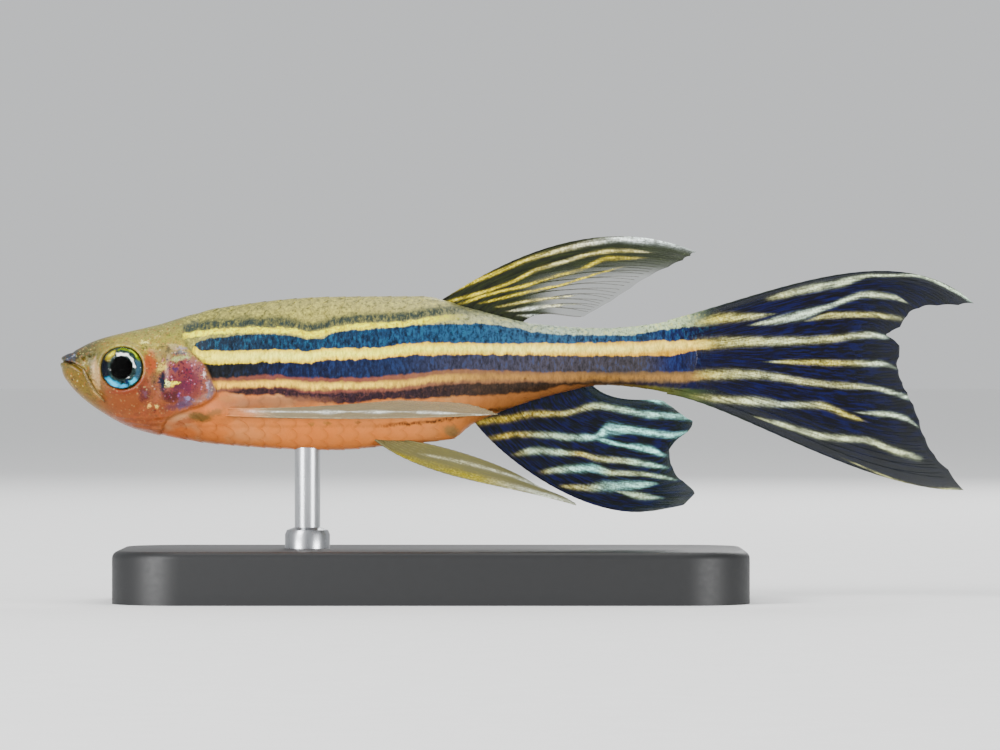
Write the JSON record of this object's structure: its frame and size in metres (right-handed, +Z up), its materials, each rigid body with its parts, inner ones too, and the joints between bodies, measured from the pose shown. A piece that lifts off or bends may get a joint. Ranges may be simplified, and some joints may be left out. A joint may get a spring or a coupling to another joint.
{
  "type": "zebra danio model on a display stand",
  "caption": "Still life-size model of a long-finned zebra danio, a small striped aquarium fish, held over a flat base by a thin rod.",
  "frame": {"origin": "centre of the bounding box in plan, on the ground under the stand's base", "axes": "+Z up; the fish faces -X, its tail points to +X and its left side faces -Y"},
  "size_m": [0.0523, 0.018, 0.0208],
  "materials": {
    "fish_skin": "wet scaled skin with blue and gold stripes, satin to glossy",
    "fish_eye": "glossy black pupil in an iris of silver, gold and blue-green",
    "fish_fin": "thin membrane on fine rays, partly clear",
    "stand_black": "black acrylic, satin",
    "stand_steel": "brushed"
  },
  "bodies": {
    "root": {"head": "fish_skin", "trunk": "fish_skin", "tail_stem": "fish_skin", "eye_left": "fish_eye", "eye_right": "fish_eye", "dorsal_fin": "fish_fin", "anal_fin": "fish_fin", "tail_fin_upper": "fish_fin", "tail_fin_lower": "fish_fin", "pelvic_fin_left": "fish_fin", "pelvic_fin_right": "fish_fin", "pectoral_fin_left": "fish_fin", "pectoral_fin_right": "fish_fin", "stand_base": "stand_black", "stand_rod": "stand_steel"}
  },
  "joints": []
}
